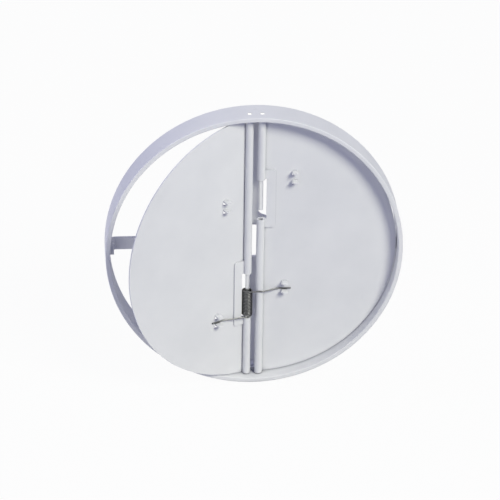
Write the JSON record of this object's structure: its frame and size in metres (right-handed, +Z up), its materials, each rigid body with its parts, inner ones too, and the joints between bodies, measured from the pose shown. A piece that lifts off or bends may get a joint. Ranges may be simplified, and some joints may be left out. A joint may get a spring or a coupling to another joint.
{
  "type": "fan damper",
  "caption": "Round butterfly fan damper: short duct ring with hinged half-round sheet blades, a torsion spring between them and a cross-shaped stop frame behind.",
  "frame": {"origin": "centre of the ring, half way between its two rims", "axes": "+Y along the ring's axis, from the front rim to the back; +Z up along the hinge lines; +X to the right seen from the front"},
  "size_m": [0.15, 0.0426, 0.15],
  "materials": {
    "pale_paint": "satin pale grey powder coat",
    "pin_steel": "bright drawn steel",
    "spring_steel": "dark oiled spring wire"
  },
  "bodies": {
    "housing": {"ring": "pale_paint", "stop_frame": "pale_paint", "frame_rivets": "pale_paint", "right_upper_pin": "pin_steel", "right_lower_pin": "pin_steel", "left_upper_pin": "pin_steel", "left_lower_pin": "pin_steel", "torsion_spring": "spring_steel"},
    "right_blade": {"right_blade": "pale_paint"},
    "left_blade": {"left_blade": "pale_paint"}
  },
  "joints": [
    {"name": "right_hinge", "type": "hinge", "parent": "housing", "child": "right_blade", "pos_m": [0.00308, -0.0022, 0], "axis": [0, 0, -1], "range_deg": [0, 85], "stiffness_Nm_per_rad": 0.01, "deforming": ["torsion_spring"]},
    {"name": "left_hinge", "type": "hinge", "parent": "housing", "child": "left_blade", "pos_m": [-0.00308, -0.0022, 0], "axis": [0, 0, 1], "range_deg": [-29, 56], "stiffness_Nm_per_rad": 0.01, "deforming": ["torsion_spring"]}
  ]
}
